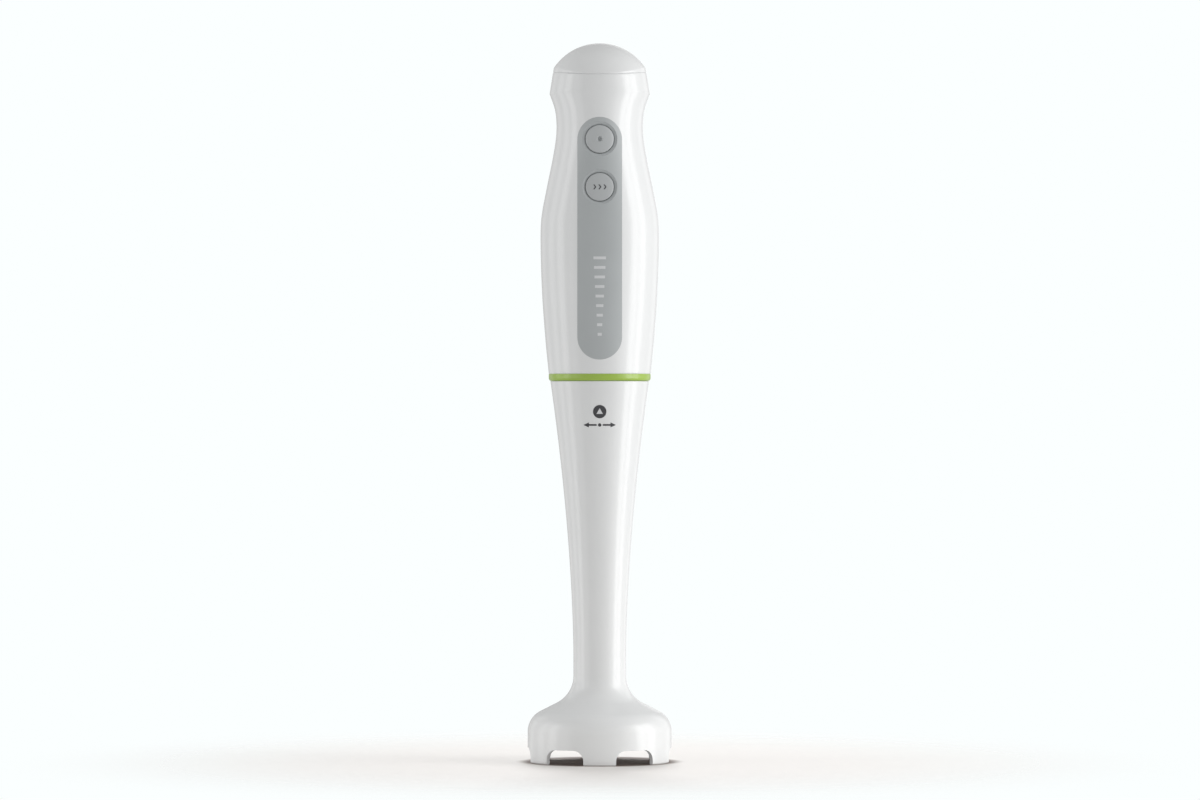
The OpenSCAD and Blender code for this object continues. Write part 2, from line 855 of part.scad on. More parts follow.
module lock_collar() color("lightgray") {
    difference() {
        union() {
            disc(socket_r, collar_z, rim_z - 0.2);
            disc(socket_r + 1.9, rim_z - 5.4, rim_z - 0.2);
        }
        disc(collar_bore, collar_z + 2.4, rim_z);
        disc(bush_r, collar_z - 1, rim_z);
    }
    ring(8.6, bush_r, collar_z - 5, collar_z + 3.6);
    for (i = [0:lugs - 1]) rotate([0, 0, 360 * i / lugs])
        ramp(track_floor + 0.4, collar_bore + 0.6, lug_h, -lug_half, lug_half);
}

module upper_shaft_bush() color("goldenrod") bush(bush_r, shaft_r + run, collar_z - 4.5, collar_z + 3.6);

// ---- Wand ----

function wand_r(z) =
    z <= taper_z
        ? waist_r
        : waist_r + (wand_top_r - waist_r) * ((z - taper_z) / (rim_z - taper_z)) ^ taper_power;

// The guard's shoulder: a concave flare, a straight slope and a convex arc, set in by t.
function flare(t) = [
    for (a = [0:9:flare_turn])
        [waist_r + flare_r - (flare_r + t) * cos(a), flare_z - (flare_r + t) * sin(a)]
];
flare_end = [waist_r + flare_r * (1 - cos(flare_turn)), flare_z - flare_r * sin(flare_turn)];
arc_r = guard_r - shoulder_arc * (1 - cos(flare_turn));
arc_z = flare_end[1] - (arc_r - flare_end[0]) / tan(flare_turn) - shoulder_arc * sin(flare_turn);
function shoulder(t) = [
    for (a = [flare_turn:-9:0])
        [guard_r - shoulder_arc + (shoulder_arc - t) * cos(a), arc_z + (shoulder_arc - t) * sin(a)]
];

module wand_section() {
    taper = [for (i = [0:22]) let (z = rim_z - (rim_z - taper_z) * i / 22) [wand_r(z), z]];
    inside = [
        for (i = [0:18])
            let (z = 40 + (collar_z - 6 - 40) * i / 18) [wand_r(z) - wand_t, z]
    ];
    polygon(concat(
        taper, flare(0), shoulder(0),
        [[guard_r, 0.6], [guard_r - 0.6, 0], [guard_in + 0.5, 0], [guard_in, 0.5]],
        [for (i = [len(shoulder(guard_t)) - 1:-1:0]) shoulder(guard_t)[i]],
        [[16, 28.5], [12, 26.5], [12, hub_z + 0.8], [11.2, hub_z], [7.5, hub_z], [7.5, 24], [bush_r, 24],
            [bush_r, 35], [9.5, 37]],
        inside,
        [[socket_r, collar_z - 4], [socket_r, rim_z - 5.4], [socket_r + 1.9, rim_z - 5.4],
            [socket_r + 1.9, rim_z]]
    ));
}

// A notch's outline: straight legs and an arched top.
module notch_outline() {
    corner = 5.4;
    translate([-notch_w, -2]) square([2 * notch_w, notch_h - corner + 2]);
    translate([-notch_w + corner, -2]) square([2 * (notch_w - corner), notch_h + 2]);
    for (side = [-1, 1]) translate([side * (notch_w - corner), notch_h - corner]) circle(r = corner);
}

module wand_shell() color("white") {
    difference() {
        union() {
            rotate_extrude() wand_section();
            for (i = [0:notches - 1]) rotate([0, 0, 360 * i / notches - 90])
                box(guard_in - 1.5, guard_in + 0.5, -0.9, 0.9, 1, 17);
        }
        for (i = [0:notches - 1]) rotate([0, 0, 360 * (i + 0.5) / notches - 90])
            translate([guard_in - 8, 0, 0])
                rotate([90, 0, 90]) linear_extrude(20) notch_outline();
    }
}

module lower_shaft_bush() color("goldenrod") bush(bush_r, shaft_r + run, 24, 34.5);

module lip_seal() color("dimgray") {
    rotate_extrude()
        polygon([
            [shaft_r + run, 21.2], [shaft_r + 0.9, 20], [4.6, 20], [5.2, 22], [6.4, 22],
            [6.4, 20.2], [7.5, 20.2], [7.5, 24], [shaft_r + 0.5, 24], [shaft_r + run, 23.2]
        ]);
}

// Nylon guide that steadies the shaft half-way up the wand.
module shaft_guide() color("ivory") {
    z = 110;
    r = wand_r(z) - wand_t - 0.1;
    difference() {
        union() {
            disc(5.5, z, z + 9);
            for (a = [0, 120, 240]) rotate([0, 0, a]) box(4, r - 1, -1.2, 1.2, z, z + 9);
            ring(r, r - 1.5, z, z + 3);
        }
        disc(shaft_r + 0.3, z - 1, z + 10);
    }
}

// ---- Drive shaft and blade ----

module drive_shaft() color("silver") {
    difference() {
        disc(shaft_r, 8.8, star_top - 0.6);
        for (z = [collar_z + 4.4, 36]) ring(shaft_r + 1, shaft_r - 0.5, z, z + 0.7);
    }
}

module shaft_coupler() color("black") {
    difference() {
        union() {
            star(12.4, 3.2, star_top - 10.5, star_top);
            disc(6.8, star_top - 11.5, star_top - 9.5);
        }
        disc(shaft_r, star_top - 12, star_top - 0.6);
    }
}

module shaft_clips() color("silver") {
    for (z = [collar_z + 4.4, 36])
        difference() {
            ring(5, shaft_r - 0.5, z, z + 0.7);
            box(0, 6, -1.6, 1.6, z - 1, z + 2);
        }
}

module thrust_washers() color("ivory") {
    for (z = [collar_z + 3.7, 35.3]) ring(5.4, shaft_r, z, z + 0.6);
}

module blade_hub() color("gray") {
    rotate_extrude()
        polygon([
            [shaft_r, blade_z + blade_t], [6.8, blade_z + blade_t], [6.8, 15.5], [5.8, 18.8],
            [shaft_r, 18.8]
        ]);
}

module blade_nut() color("silver") {
    difference() {
        union() {
            translate([0, 0, 8.6]) cylinder(r = 5, h = blade_z - 8.6, $fn = 6);
            disc(3.6, 7.8, 8.7);
        }
        disc(shaft_r, 8.8, blade_z + 1);
    }
}

// One swept wing: flat at the hub, then bent up or down along its length.
module wing(tilt) {
    linear_extrude(blade_t) polygon([[2, -6], [9, -5], [9, 5], [2, 6]]);
    translate([9, 0, 0]) rotate([0, -tilt, 0]) difference() {
        linear_extrude(blade_t)
            polygon([[-0.2, -5], [5, -5.6], [12, -5], [blade_r - 11, -2.4], [blade_r - 9.6, 1.6],
                [blade_r - 11.5, 4.4], [9, 5.4], [-0.2, 5]]);
        translate([0, -7.2, blade_t]) rotate([28, 0, 0]) box(1.5, 30, -2, 4, -0.1, 3);
    }
}

module blade() color("silver") {
    translate([0, 0, blade_z]) difference() {
        union() {
            disc(8, 0, blade_t);
            for (i = [0:2]) rotate([0, 0, 120 * i + 90]) wing([9, -7, 2][i]);
        }
        disc(shaft_r, -1, blade_t + 1);
    }
}

// ---- The nodes ----

front_housing();
rear_housing();
top_cap();
control_panel();
trim_ring();
bayonet_spigot();
housing_screws();
cord_gland();
cord_clamp();
clamp_screws();
mains_terminal();
switch_bracket();
circuit_board();
speed_switch();
turbo_switch();
suppression_capacitor();
bridge_rectifier();
inductor();
live_lead();
neutral_lead();
stator_core();
field_coils();
upper_motor_bracket();
lower_motor_bracket();
upper_motor_bush();
lower_motor_bush();
brush_holders();
carbon_brushes();
brush_springs();
upper_motor_mount();
lower_motor_mount();
motor_screws();
motor_shaft();
armature_core();
armature_winding();
commutator();
cooling_fan();
motor_coupler();
drive_shaft();
shaft_coupler();
shaft_clips();
thrust_washers();
blade();
blade_hub();
blade_nut();
wand_shell();
lock_collar();
upper_shaft_bush();
lower_shaft_bush();
shaft_guide();
lip_seal();
spigot_seal();
speed_button();
turbo_button();
speed_spring();
turbo_spring();
speed_plunger();
turbo_plunger();
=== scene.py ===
"""Immersion blender: the looks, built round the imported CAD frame. +Z up, the buttons face -Y.

The object's lengths are millimetres, which MM turns to metres. The studio's are metres.
"""

import json
import math

import bmesh
import bpy
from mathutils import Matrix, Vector


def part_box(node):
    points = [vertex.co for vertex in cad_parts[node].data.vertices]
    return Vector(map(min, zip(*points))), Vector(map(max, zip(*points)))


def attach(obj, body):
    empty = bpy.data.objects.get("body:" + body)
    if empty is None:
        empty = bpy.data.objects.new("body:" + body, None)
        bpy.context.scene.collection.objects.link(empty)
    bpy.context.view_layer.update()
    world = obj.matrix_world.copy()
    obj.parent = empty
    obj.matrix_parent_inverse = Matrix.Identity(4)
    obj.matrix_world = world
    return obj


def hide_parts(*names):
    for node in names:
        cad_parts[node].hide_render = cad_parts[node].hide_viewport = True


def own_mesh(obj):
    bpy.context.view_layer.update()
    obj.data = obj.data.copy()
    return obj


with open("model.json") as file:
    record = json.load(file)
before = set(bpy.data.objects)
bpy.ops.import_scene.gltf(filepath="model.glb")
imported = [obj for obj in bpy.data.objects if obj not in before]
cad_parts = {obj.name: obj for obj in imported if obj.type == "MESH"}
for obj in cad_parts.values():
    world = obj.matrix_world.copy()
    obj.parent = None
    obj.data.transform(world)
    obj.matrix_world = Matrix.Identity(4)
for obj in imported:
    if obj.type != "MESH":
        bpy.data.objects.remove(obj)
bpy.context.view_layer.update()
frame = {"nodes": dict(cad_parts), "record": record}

MM = 0.001


def low(node):
    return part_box(node)[0] / MM


def high(node):
    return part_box(node)[1] / MM


# ---- Driving dimensions in millimetres ----

# Read from the frame
RIM_Z = high("wand_shell").z
BODY_Z = high("trim_ring").z
RING_R = high("trim_ring").x
BELLY_R = high("front_housing").x
TOP_Z = high("top_cap").z
GUARD_R = high("wand_shell").x
SPEED_Z = (low("speed_button").z + high("speed_button").z) / 2
TURBO_Z = (low("turbo_button").z + high("turbo_button").z) / 2
INLET_Z = (low("cord_gland").z + high("cord_gland").z) / 2

# The handle's shells and cap
GRIP_R = 22.85
SHOULDER_R = 26.5
SHOULDER_Z = 353.2
HEAD_TOP_R = 24.3
DOME_R = 29.1
SHELL_T = 2.4
SEAM_DROP = 0.5
EDGE_TURN = 0.22
EDGE_REACH = 0.55
CAP_LIP = 1.5
LIP_H = 4

# The screws at (x, z), their posts and wells, and the ribs (outer radius, height) that hold the motor
SCREWS = ((20.5, 303), (15.5, 349))
SCREW_HEAD_H = 2
HEAD_SINK = 0.4
SHANK_R = 1.6
PILOT_R = 1.35
WELL_R = 2.8
POST_R = 4.2
FRONT_POST_END = 14
MOUNT_R = 25.1
RIB_H = 3
RIBS = ((27.5, 226.5), (29.2, 264.5))

# The panel and the buttons
PANEL_R = 11.7
PANEL_Z = (212.5, 339.8)
PANEL_GAP = 0.03
WELL_RIM_R = 9.2
WELL_FLOOR_R = 7.66
BUTTON_R = 7.45
BUTTON_INSET = 0.62
BUTTON_ROUND = 0.6
DIMPLE_R = 1.6
DIMPLE_DEPTH = 1.7
FLANGE_R = 8.9
FLANGE_T = 1.2
FLANGE_BACK = 3.4
STEM_R = 2
SPRING_WIRE_R = 0.3
SPRING_TURNS = 5

# The wand, its guard and the inlet for the cord
WAND_TOP_R = 26.1
WAIST_R = 13.9
TUBE_T = 2.4
TAPER_Z = 55
TAPER_POWER = 1.71
GUARD_T = 3
FLARE_Z = 45.5
FLARE_R = 16
FLARE_TURN = 63
SHOULDER_ARC = 12
NOTCHES = 6
NOTCH_H = 7.8
NOTCH_W = 11.1
NOTCH_CORNER = 5.4
INLET_BORE_R = 3.4
INLET_BORE_L = 8.5
SHELL_HOLE_R = 6.2
CAP_HOLE_R = 7.5

# The printed marks
PRINT = 0.05
PRINT_ROOT = 0.02
LOCK_Z = 185.2
ARROW_Z = 178.2
LEVEL_BARS = 9
CHEVRONS = 3

# Half the handle's width and half its depth, as (height, distance)
WIDTH = (
    (BODY_Z, RING_R), (223, BELLY_R - 2.6), (248, BELLY_R - 0.8), (275, BELLY_R),
    (288, BELLY_R - 0.5), (303, BELLY_R - 3.2), (318, GRIP_R + 2.2), (329, GRIP_R + 0.4),
    (337, GRIP_R), (345, GRIP_R + 0.9), (SHOULDER_Z, SHOULDER_R),
)
DEPTH = ((BODY_Z, RING_R), (225, 28.8), (255, 30), (285, 29.8), (315, 28.4), (340, 27.1), (370, 26.4))
DOME_Z = TOP_Z - DOME_R
CREASE_Z = DOME_Z + math.sqrt(DOME_R**2 - HEAD_TOP_R**2)


# ---- The handle's outline, by the same rules as the CAD ----

def curve(points, z):
    """Smooth curve through the points (z, r), by cubic segments."""
    i = 0
    while i < len(points) - 2 and z > points[i + 1][0]:
        i += 1

    def slope(k):
        a, b = max(k - 1, 0), min(k + 1, len(points) - 1)
        return (points[b][1] - points[a][1]) / (points[b][0] - points[a][0])

    h = points[i + 1][0] - points[i][0]
    t = (z - points[i][0]) / h
    return (
        (2 * t**3 - 3 * t**2 + 1) * points[i][1]
        + (t**3 - 2 * t**2 + t) * slope(i) * h
        + (3 * t**2 - 2 * t**3) * points[i + 1][1]
        + (t**3 - t**2) * slope(i + 1) * h
    )


def half_width(z):
    """The curve up to the shoulder, then a straight taper to the cap's crease."""
    if z <= SHOULDER_Z:
        return curve(WIDTH, z)
    share = (z - SHOULDER_Z) / (CREASE_Z - SHOULDER_Z)
    return SHOULDER_R + (HEAD_TOP_R - SHOULDER_R) * share


def half_depth(z):
    return curve(DEPTH, z)


def skin(z, angle, inset=0.0):
    """A point on the handle's skin at an angle in degrees, set in from the surface."""
    a = math.radians(angle)
    return Vector(((half_width(z) - inset) * math.cos(a), (half_depth(z) - inset) * math.sin(a), z))


def front(x, z, inset=0.0):
    """A point on the front of the skin at (x, z), set in along Y."""
    return Vector((x, -half_depth(z) * math.sqrt(1 - (x / half_width(z)) ** 2) + inset, z))


def crease(angle):
    """Height at which the skin meets the cap's dome."""
    z = CREASE_Z
    for _ in range(2):
        z = DOME_Z + math.sqrt(DOME_R**2 - skin(z, angle).xy.length_squared)
    return z


def seam(angle):
    """Height of the parting line between the shells and the cap, flatter than the crease above it."""
    return (crease(angle) + crease(-90)) / 2 - SEAM_DROP


# ---- Mesh tools ----

def spread(start, end, steps):
    """Evenly spaced values from start to end, both included."""
    return [start + (end - start) * i / steps for i in range(steps + 1)]


def finish_mesh(name, verts, faces, sharp=35):
    """An object from vertices in millimetres, smooth except across sharp edges."""
    mesh = bpy.data.meshes.new(name)
    mesh.from_pydata([Vector(v) * MM for v in verts], [], faces)
    obj = bpy.data.objects.new(name, mesh)
    bpy.context.scene.collection.objects.link(obj)
    bm = bmesh.new()
    bm.from_mesh(mesh)
    bmesh.ops.remove_doubles(bm, verts=bm.verts, dist=0.002 * MM)
    bmesh.ops.recalc_face_normals(bm, faces=bm.faces)
    bm.to_mesh(mesh)
    bm.free()
    smooth(obj, sharp)
    return obj


def smooth(obj, sharp=35):
    """Smooth shading, except across edges sharper than an angle in degrees."""
    obj.data.shade_smooth()
    obj.data.set_sharp_from_angle(angle=math.radians(sharp))


def grid(rows, cols, offset=0, wrap=False):
    """Quads between rows of points."""
    out = []
    for i in range(rows - 1):
        for j in range(cols if wrap else cols - 1):
            k = (j + 1) % cols
            a, b = offset + i * cols + j, offset + i * cols + k
            out.append((a, b, b + cols, a + cols))
    return out


def slab(outer, inner):
    """Vertices and faces of the solid between two grids of points."""
    rows, cols = len(outer), len(outer[0])
    n = rows * cols
    faces = grid(rows, cols) + grid(rows, cols, n)
    for i in range(rows - 1):
        for j in (0, cols - 1):
            a, b = i * cols + j, (i + 1) * cols + j
            faces.append((a, b, b + n, a + n))
    for j in range(cols - 1):
        for i in (0, rows - 1):
            a, b = i * cols + j, i * cols + j + 1
            faces.append((a, b, b + n, a + n))
    return [p for row in outer for p in row] + [p for row in inner for p in row], faces


def loft(rings, closed=True):
    """Vertices and faces of a solid through closed rings; a single point ends it in a tip."""
    verts, faces = [], []
    starts = []
    for ring in rings:
        starts.append(len(verts))
        verts += ring
    for (s, ring), (t, after) in zip(zip(starts, rings), zip(starts[1:], rings[1:])):
        n = max(len(ring), len(after))
        for j in range(n):
            k = (j + 1) % n
            if len(ring) == 1:
                faces.append((s, t + k, t + j))
            elif len(after) == 1:
                faces.append((s + j, s + k, t))
            else:
                faces.append((s + j, s + k, t + k, t + j))
    if closed and len(rings[0]) > 1:
        faces.append(tuple(range(starts[0], starts[0] + len(rings[0]))))
    if closed and len(rings[-1]) > 1:
        faces.append(tuple(range(starts[-1], starts[-1] + len(rings[-1]))))
    return verts, faces


def turned(name, profile, steps=192, axis="Z", centre=(0, 0, 0), sharp=35):
    """A solid of revolution from a closed profile of (radius, along)."""
    rings = []
    for r, h in profile:
        ring = []
        for i in range(steps):
            a = 2 * math.pi * i / steps
            u, v = r * math.cos(a), r * math.sin(a)
            ring.append(Vector((u, v, h) if axis == "Z" else (u, h, v)) + Vector(centre))
        rings.append(ring)
    verts, faces = loft(rings + rings[:1], closed=False)
    return finish_mesh(name, verts, faces, sharp)


def cut(obj, cutter, operation="DIFFERENCE"):
    """Applies an exact boolean and removes the cutter."""
    mod = obj.modifiers.new("cut", "BOOLEAN")
    mod.operation, mod.object, mod.solver = operation, cutter, "EXACT"
    baked = bpy.data.meshes.new_from_object(obj.evaluated_get(bpy.context.evaluated_depsgraph_get()))
    obj.modifiers.clear()
    old, obj.data = obj.data, baked
    baked.name = obj.name
    bpy.data.meshes.remove(old)
    bpy.data.objects.remove(cutter)
    smooth(obj)


def join(name, objs):
    """One object from several."""
    bm = bmesh.new()
    for o in objs:
        bm.from_mesh(o.data)
        bpy.data.objects.remove(o)
    mesh = bpy.data.meshes.new(name)
    bm.to_mesh(mesh)
    bm.free()
    obj = bpy.data.objects.new(name, mesh)
    bpy.context.scene.collection.objects.link(obj)
    smooth(obj)
    return obj


def prism_y(name, outline, y0, y1):
    """A solid with an outline of (x, z), from y0 to y1."""
    return finish_mesh(name, *loft([[Vector((x, y, z)) for x, z in outline] for y in (y0, y1)]))


def arc(cx, cy, r, a0, a1, n):
    """Points (x, y) round an arc, angles in degrees."""
    return [(cx + r * math.cos(a), cy + r * math.sin(a)) for a in map(math.radians, spread(a0, a1, n))]


def circle(r, n):
    """Points (x, y) round a whole circle, the first not repeated."""
    return arc(0, 0, r, 0, 360, n)[:-1]


def slot_outline(half, z0, z1, n=32):
    """An upright slot with round ends, as points (x, z)."""
    return arc(0, z1 - half, half, 0, 180, n) + arc(0, z0 + half, half, 180, 360, n)


def rod_y(name, r, y0, y1, x=0.0, z=0.0):
    """A round bar along Y."""
    return prism_y(name, [(x + u, z + v) for u, v in circle(r, 48)], y0, y1)


# ---- Materials ----

def material(name, colour, roughness, metallic=0.0, grain=0.0, grain_scale=2500.0, mottle=0.03,
             coat=0.0, stretch=(1, 1, 1), specular=0.5, wear=0.0):
    """Plastic, rubber or metal: mottled colour, uneven roughness and, if asked, a grain and worn edges."""
    mat = bpy.data.materials.new(name)
    mat.use_nodes = True
    nodes, links = mat.node_tree.nodes, mat.node_tree.links
    shader = nodes["Principled BSDF"]
    shader.inputs["Metallic"].default_value = metallic
    shader.inputs["Specular IOR Level"].default_value = specular
    shader.inputs["Coat Weight"].default_value = coat
    shader.inputs["Coat Roughness"].default_value = 0.12
    where = nodes.new("ShaderNodeTexCoord")
    mapping = nodes.new("ShaderNodeMapping")
    mapping.inputs["Scale"].default_value = stretch
    links.new(where.outputs["Object"], mapping.inputs["Vector"])

    def noise(scale, detail):
        n = nodes.new("ShaderNodeTexNoise")
        n.inputs["Scale"].default_value = scale
        n.inputs["Detail"].default_value = detail
        links.new(mapping.outputs["Vector"], n.inputs["Vector"])
        return n.outputs["Fac"]

    def ramp(source, lo, hi):
        r = nodes.new("ShaderNodeValToRGB")
        r.color_ramp.elements[0].position, r.color_ramp.elements[1].position = 0.3, 0.7
        r.color_ramp.elements[0].color, r.color_ramp.elements[1].color = lo, hi
        links.new(source, r.inputs["Fac"])
        return r.outputs["Color"]

    dark = [c * (1 - mottle) for c in colour] + [1]
    light = [min(c * (1 + mottle), 1) for c in colour] + [1]
    base = ramp(noise(55, 3), dark, light)
    if wear:
        edge = nodes.new("ShaderNodeNewGeometry")
        worn = nodes.new("ShaderNodeMix")
        worn.data_type = "RGBA"
        share = ramp(edge.outputs["Pointiness"], (0, 0, 0, 1), (wear, wear, wear, 1))
        links.new(share, worn.inputs["Factor"])
        links.new(base, worn.inputs[6])
        worn.inputs[7].default_value = [min(c * 1.25 + 0.03, 1) for c in colour] + [1]
        base = worn.outputs[2]
    links.new(base, shader.inputs["Base Color"])
    uneven = nodes.new("ShaderNodeMapRange")
    uneven.inputs["To Min"].default_value = roughness * 0.88
    uneven.inputs["To Max"].default_value = min(roughness * 1.12, 1)
    links.new(noise(160, 2), uneven.inputs["Value"])
    links.new(uneven.outputs["Result"], shader.inputs["Roughness"])
    if grain:
        bump = nodes.new("ShaderNodeBump")
        bump.inputs["Strength"].default_value = grain
        bump.inputs["Distance"].default_value = 0.05 * MM
        links.new(noise(grain_scale, 2), bump.inputs["Height"])
        links.new(bump.outputs["Normal"], shader.inputs["Normal"])
    return mat


GLOSSY = dict(grain=0.05, grain_scale=1400, mottle=0.006, coat=0.15)
SATIN = dict(grain_scale=3200, mottle=0.02)
STEEL_GRAIN = dict(metallic=1.0, grain=0.35, grain_scale=900, stretch=(1, 14, 1))
LOOKS = {
    "white_plastic": dict(colour=(0.78, 0.79, 0.79), roughness=0.25, **GLOSSY),
    "wand_plastic": dict(colour=(0.78, 0.79, 0.79), roughness=0.25, **GLOSSY),
    "panel_grey": dict(colour=(0.425, 0.45, 0.455), roughness=0.52, grain=0.15, specular=0.85, **SATIN),
    "button_grey": dict(colour=(0.46, 0.48, 0.485), roughness=0.48, grain=0.12, specular=0.8, **SATIN),
    "ring_green": dict(colour=(0.34, 0.50, 0.075), roughness=0.30, grain=0.08, mottle=0.03, coat=0.2),
    "spigot_grey": dict(colour=(0.50, 0.50, 0.50), roughness=0.45, grain=0.2),
    "collar_grey": dict(colour=(0.55, 0.55, 0.55), roughness=0.45, grain=0.2),
    "gland_rubber": dict(colour=(0.50, 0.51, 0.51), roughness=0.65, grain=0.4, grain_scale=1800),
    "dark_rubber": dict(colour=(0.03, 0.03, 0.03), roughness=0.7, grain=0.4, grain_scale=1800),
    "seal_rubber": dict(colour=(0.24, 0.24, 0.25), roughness=0.55, grain=0.3, grain_scale=1800),
    "screw_steel": dict(colour=(0.55, 0.55, 0.56), roughness=0.32, wear=0.4, **STEEL_GRAIN),
    "shaft_steel": dict(colour=(0.60, 0.60, 0.62), roughness=0.22, wear=0.2, **STEEL_GRAIN),
    "spring_steel": dict(colour=(0.60, 0.60, 0.60), roughness=0.30, **STEEL_GRAIN),
    "blade_steel": dict(colour=(0.64, 0.64, 0.66), roughness=0.24, wear=0.4, **STEEL_GRAIN),
    "core_steel": dict(colour=(0.22, 0.23, 0.25), roughness=0.45, metallic=0.9, grain=0.8,
                       grain_scale=700, stretch=(0.05, 0.05, 3)),
    "winding_copper": dict(colour=(0.60, 0.24, 0.09), roughness=0.35, metallic=0.8, grain=1.0,
                           grain_scale=800, stretch=(0.3, 0.3, 3), mottle=0.15),
    "commutator_copper": dict(colour=(0.72, 0.36, 0.20), roughness=0.30, metallic=1.0, grain=0.4,
                              grain_scale=900, stretch=(0.1, 0.1, 8)),
    "bush_bronze": dict(colour=(0.50, 0.33, 0.15), roughness=0.42, metallic=0.9, grain=0.5),
    "holder_brass": dict(colour=(0.72, 0.56, 0.25), roughness=0.32, metallic=1.0, grain=0.2),
    "carbon": dict(colour=(0.025, 0.025, 0.025), roughness=0.6, grain=0.5),
    "bracket_nylon": dict(colour=(0.05, 0.05, 0.055), roughness=0.5, grain=0.3),
    "natural_nylon": dict(colour=(0.72, 0.70, 0.62), roughness=0.45, grain=0.2),
    "clamp_plastic": dict(colour=(0.55, 0.55, 0.53), roughness=0.5, grain=0.3),
    "board_green": dict(colour=(0.02, 0.13, 0.05), roughness=0.3, mottle=0.2),
    "switch_black": dict(colour=(0.02, 0.02, 0.02), roughness=0.45, grain=0.3),
    "plunger_red": dict(colour=(0.45, 0.03, 0.02), roughness=0.45, grain=0.2),
    "capacitor_yellow": dict(colour=(0.62, 0.42, 0.04), roughness=0.4, grain=0.15),
    "ferrite": dict(colour=(0.08, 0.07, 0.06), roughness=0.6, grain=0.5),
    "lead_brown": dict(colour=(0.16, 0.06, 0.03), roughness=0.5, grain=0.2),
    "lead_blue": dict(colour=(0.04, 0.10, 0.42), roughness=0.5, grain=0.2),
}
MATERIALS = {name: material(name, **look) for name, look in LOOKS.items()}
MARK_LIGHT = material("mark_light", (0.66, 0.67, 0.68), 0.45, grain=0.15, mottle=0.02)
MARK_DARK = material("mark_dark", (0.055, 0.055, 0.06), 0.45, grain=0.15, mottle=0.05)
SLOT_OF = {row["node"]: row["material_slot"] for row in frame["record"]["subparts"]}


def place(obj, body, slot, replaces=(), look=None):
    """Gives a piece its material, the slot's own unless a look is given, and its body, and hides the CAD
    nodes it replaces.
    """
    obj.data.materials.clear()
    obj.data.materials.append(look or MATERIALS[slot])
    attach(obj, body)
    if replaces:
        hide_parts(*replaces)
    return obj


# ---- Camera, light and floor, in metres ----

EYE_DISTANCE = 3.0
VIEW_WIDTH = 0.6349
VIEW_CENTRE = (0.00016, 0.1913)
SENSOR = 36
FLOOR_R = 0.34
FLOOR_SOLID_R = 0.06
FLOOR_STEPS = 96
# Painted shadow: the floor's colour turns dark warm brown under the guard's rim, fading out from the first
# radius to the second
PAINTED_SHADOW_R = ((GUARD_R - 2) * MM, (GUARD_R + 8) * MM)
PAINTED_SHADOW_COLOUR = (0.19, 0.14, 0.115, 1)
LAMP_Z = 0.35
LAMP_SIZE = (0.42, 1.3)
LAMP_AIM = (0, 0, 0.2)

# (name, azimuth, power): tall lamps in a ring, the strongest on the right
LAMPS = (
    ("key", 70, 7.5), ("key_edge", 90, 5.8), ("key_front", 50, 1.4), ("key_back", 110, 0.5),
    ("fill", -80, 3.5), ("fill_front", -55, 1.25), ("fill_back", -105, 1.7),
    ("back", 140, 0.8), ("back_middle", 176, 0.8), ("back_left", -140, 0.5),
)

camera = bpy.data.objects.new("camera", bpy.data.cameras.new("camera"))
bpy.context.scene.collection.objects.link(camera)
camera.location = (VIEW_CENTRE[0], -EYE_DISTANCE, VIEW_CENTRE[1])
camera.rotation_euler = (math.radians(90), 0, 0)
camera.data.sensor_width = SENSOR
camera.data.lens = SENSOR * EYE_DISTANCE / VIEW_WIDTH
camera.data.clip_end = 50
camera.data.dof.use_dof = False
bpy.context.scene.camera = camera
bpy.context.scene.view_settings.view_transform = "Standard"


def floor_material():
    """Pale card with a painted shadow round the guard, a dark warm patch in its colour, that fades out at
    its edge.

    It is clear from beneath and to shadow and mirror rays, so that the lamp under it reaches the blade.
    """
    mat = material("floor", (0.80, 0.775, 0.75), 0.7, mottle=0.004)
    nodes, links = mat.node_tree.nodes, mat.node_tree.links
    shader = nodes["Principled BSDF"]
    radius = nodes.new("ShaderNodeVectorMath")
    radius.operation = "LENGTH"
    links.new(nodes.new("ShaderNodeTexCoord").outputs["Object"], radius.inputs[0])

    def beyond(start, end):
        """0 inside the first radius and 1 outside the second."""
        node = nodes.new("ShaderNodeMapRange")
        node.interpolation_type = "SMOOTHERSTEP"
        node.inputs["From Min"].default_value = start
        node.inputs["From Max"].default_value = end
        links.new(radius.outputs["Value"], node.inputs["Value"])
        return node.outputs["Result"]

    def either(a, b):
        """The larger of two values."""
        node = nodes.new("ShaderNodeMath")
        node.operation = "MAXIMUM"
        links.new(a, node.inputs[0])
        links.new(b, node.inputs[1])
        return node.outputs["Value"]

    # Painted shadow: dark brown colour inside the guard's rim, blending into the card's own colour outside
    # it
    painted_shadow = nodes.new("ShaderNodeMix")
    painted_shadow.data_type = "RGBA"
    painted_shadow.inputs[6].default_value = PAINTED_SHADOW_COLOUR
    links.new(shader.inputs["Base Color"].links[0].from_socket, painted_shadow.inputs[7])
    links.new(beyond(*PAINTED_SHADOW_R), painted_shadow.inputs["Factor"])
    links.new(painted_shadow.outputs[2], shader.inputs["Base Color"])

    beneath = nodes.new("ShaderNodeNewGeometry").outputs["Backfacing"]
    ray = nodes.new("ShaderNodeLightPath")
    passing = either(either(beneath, ray.outputs["Is Shadow Ray"]), ray.outputs["Is Glossy Ray"])
    melt = nodes.new("ShaderNodeMixShader")
    links.new(either(beyond(FLOOR_SOLID_R, FLOOR_R), passing), melt.inputs["Fac"])
    links.new(shader.outputs["BSDF"], melt.inputs[1])
    links.new(nodes.new("ShaderNodeBsdfTransparent").outputs["BSDF"], melt.inputs[2])
    links.new(melt.outputs["Shader"], nodes["Material Output"].inputs["Surface"])
    return mat


rim = [(x, y, 0) for x, y in circle(FLOOR_R / MM, FLOOR_STEPS)]
fan = [(0, i + 1, (i + 1) % FLOOR_STEPS + 1) for i in range(FLOOR_STEPS)]
floor = finish_mesh("floor", [(0, 0, 0)] + rim, fan)
floor.data.materials.append(floor_material())


